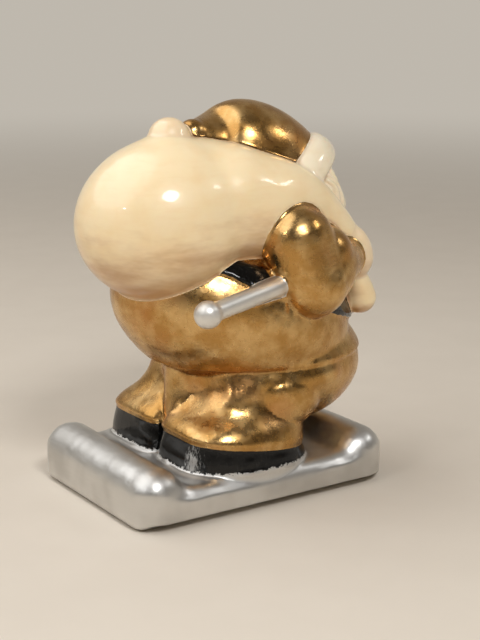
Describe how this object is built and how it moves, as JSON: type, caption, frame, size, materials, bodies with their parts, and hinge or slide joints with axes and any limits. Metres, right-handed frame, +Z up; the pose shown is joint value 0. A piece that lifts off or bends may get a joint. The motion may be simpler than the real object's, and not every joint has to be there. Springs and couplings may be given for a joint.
{
  "type": "santa claus figurine",
  "caption": "Glazed ceramic Santa Claus figurine, bent forward under a large sack, standing on a silver toboggan with rolled-up ends.",
  "frame": {"origin": "middle of the toboggan's flat underside", "axes": "+Z up, +X the way Santa faces and the toboggan runs, +Y to Santa's left"},
  "size_m": [0.1293, 0.1066, 0.1576],
  "materials": {
    "silver_lustre": "brushed silver lustre over glaze",
    "gold_lustre": "mottled gold lustre over glaze",
    "black_enamel": "gloss enamel, laid on by brush",
    "sack_glaze": "gloss",
    "fur_glaze": "gloss",
    "skin_glaze": "gloss"
  },
  "bodies": {
    "root": {"sled_base": "silver_lustre", "boot_left": "black_enamel", "boot_right": "black_enamel", "trousers": "gold_lustre", "coat": "gold_lustre", "belt": "black_enamel", "belt_buckle": "silver_lustre", "head": "skin_glaze", "cap_brim": "fur_glaze", "cap_crown": "gold_lustre", "nose": "skin_glaze", "eye_left": "black_enamel", "eye_right": "black_enamel", "eyebrow_left": "fur_glaze", "eyebrow_right": "fur_glaze", "beard": "fur_glaze", "moustache_left": "fur_glaze", "moustache_right": "fur_glaze", "cap_pompom": "fur_glaze", "sack": "sack_glaze", "mitten_right": "fur_glaze", "sack_mouth": "sack_glaze", "staff_knob": "silver_lustre", "staff_shaft": "silver_lustre", "sleeve_right": "gold_lustre", "mitten_left": "fur_glaze", "sleeve_left": "gold_lustre"}
  },
  "joints": []
}
